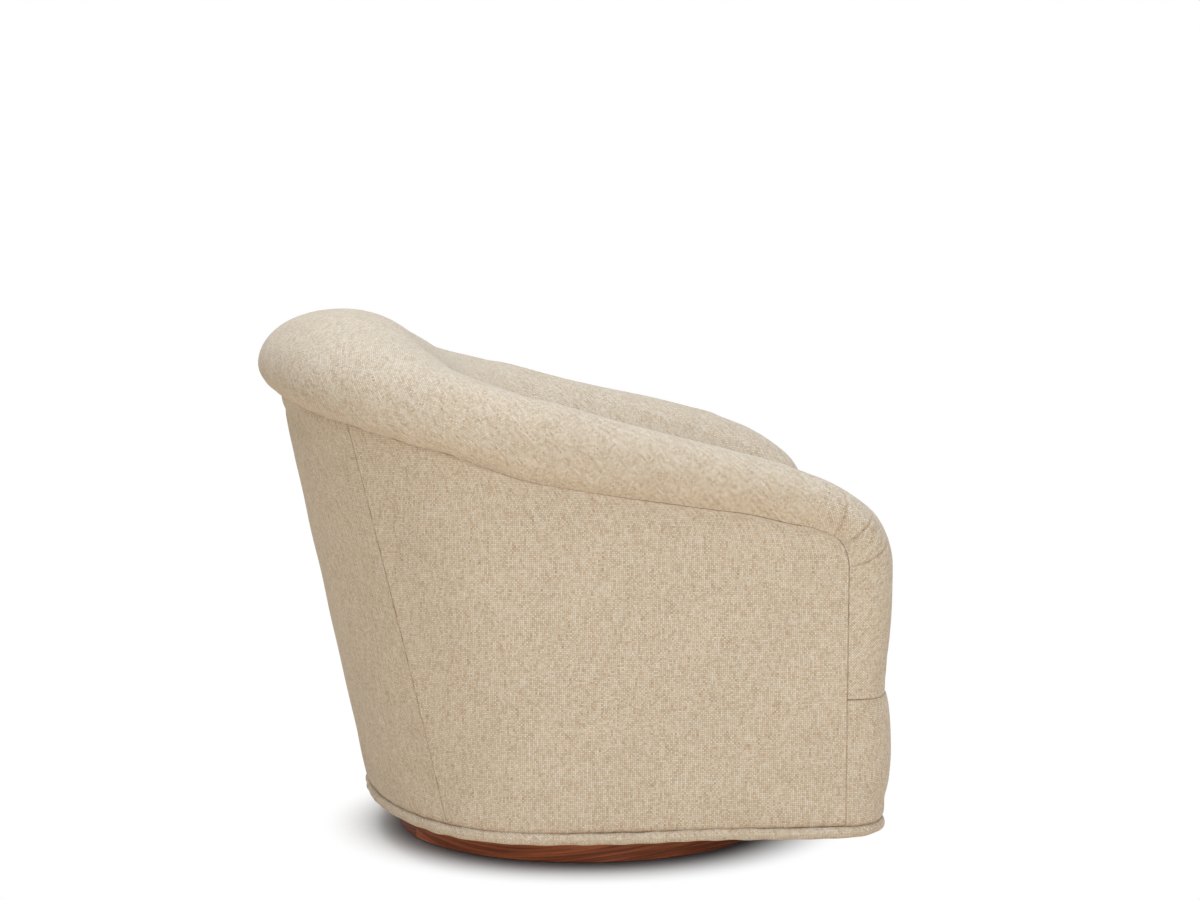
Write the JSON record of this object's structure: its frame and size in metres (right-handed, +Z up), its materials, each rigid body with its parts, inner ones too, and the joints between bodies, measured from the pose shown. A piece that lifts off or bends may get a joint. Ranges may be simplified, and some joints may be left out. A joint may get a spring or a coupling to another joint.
{
  "type": "swivel chair",
  "caption": "Low barrel armchair in oatmeal fabric: a thick padded roll runs over the arms and round the back, on a round walnut plinth with a hidden ball-bearing swivel.",
  "frame": {"origin": "on the swivel axis, on the floor plane that the felt ring under the plinth rests on", "axes": "+Z up along the swivel axis, -Y the way the sitter faces, +X to the sitter's left"},
  "size_m": [0.799, 0.8372, 0.726],
  "materials": {
    "oatmeal_fabric": "oatmeal linen-look weave, matt",
    "deck_cloth": "plain decking cloth",
    "walnut": "satin lacquered walnut, grain running round the ring",
    "plywood": "raw birch plywood",
    "frame_timber": "raw kiln-dried hardwood",
    "zinc_steel": "zinc-plated pressed steel",
    "bright_steel": "polished bearing steel",
    "spring_wire": "oiled spring wire",
    "felt": "pressed felt",
    "dust_cloth": "thin black non-woven cloth"
  },
  "bodies": {
    "base": {"floor_felt": "felt", "plinth_ring": "walnut", "plinth_board": "plywood", "lower_bearing_plate": "zinc_steel", "plinth_screws": "zinc_steel", "pivot_rivet": "zinc_steel"},
    "ball_cage": {"ball_retainer": "zinc_steel", "bearing_balls": "bright_steel"},
    "chair": {"bottom_welt": "oatmeal_fabric", "front_apron": "oatmeal_fabric", "outside_back_panel": "oatmeal_fabric", "inside_back_pad": "oatmeal_fabric", "back_roll": "oatmeal_fabric", "inside_arm_pad_right": "oatmeal_fabric", "inside_arm_pad_left": "oatmeal_fabric", "arm_roll_right": "oatmeal_fabric", "arm_roll_left": "oatmeal_fabric", "outside_panel_right": "oatmeal_fabric", "outside_panel_left": "oatmeal_fabric", "seat_deck": "deck_cloth", "base_board": "plywood", "inside_back_board": "plywood", "inside_arm_board_right": "plywood", "inside_arm_board_left": "plywood", "front_rail": "frame_timber", "back_rail": "frame_timber", "top_back_rail": "frame_timber", "rear_seat_rail": "frame_timber", "corner_blocks": "frame_timber", "side_rail_right": "frame_timber", "side_rail_left": "frame_timber", "arm_post_right": "frame_timber", "arm_post_left": "frame_timber", "arm_rail_right": "frame_timber", "arm_rail_left": "frame_timber", "back_post_right": "frame_timber", "back_post_left": "frame_timber", "upper_bearing_plate": "zinc_steel", "chair_screws": "zinc_steel", "spring_clips": "zinc_steel", "seat_springs": "spring_wire", "dust_cover": "dust_cloth"},
    "cushion": {"seat_cushion": "oatmeal_fabric"}
  },
  "joints": [
    {"name": "seat_swivel", "type": "hinge", "parent": "base", "child": "chair", "pos_m": [0, 0, 0.058], "axis": [0, 0, 1], "continuous": true},
    {"name": "cage_turn", "type": "hinge", "parent": "base", "child": "ball_cage", "pos_m": [0, 0, 0.058], "axis": [0, 0, 1], "continuous": true},
    {"name": "cushion_lift", "type": "slide", "parent": "chair", "child": "cushion", "axis": [0, 0, 1], "range_m": [0, 0.35]}
  ],
  "couplings": [
    {"joint": "cage_turn", "follows": "seat_swivel", "ratio": 0.5}
  ]
}
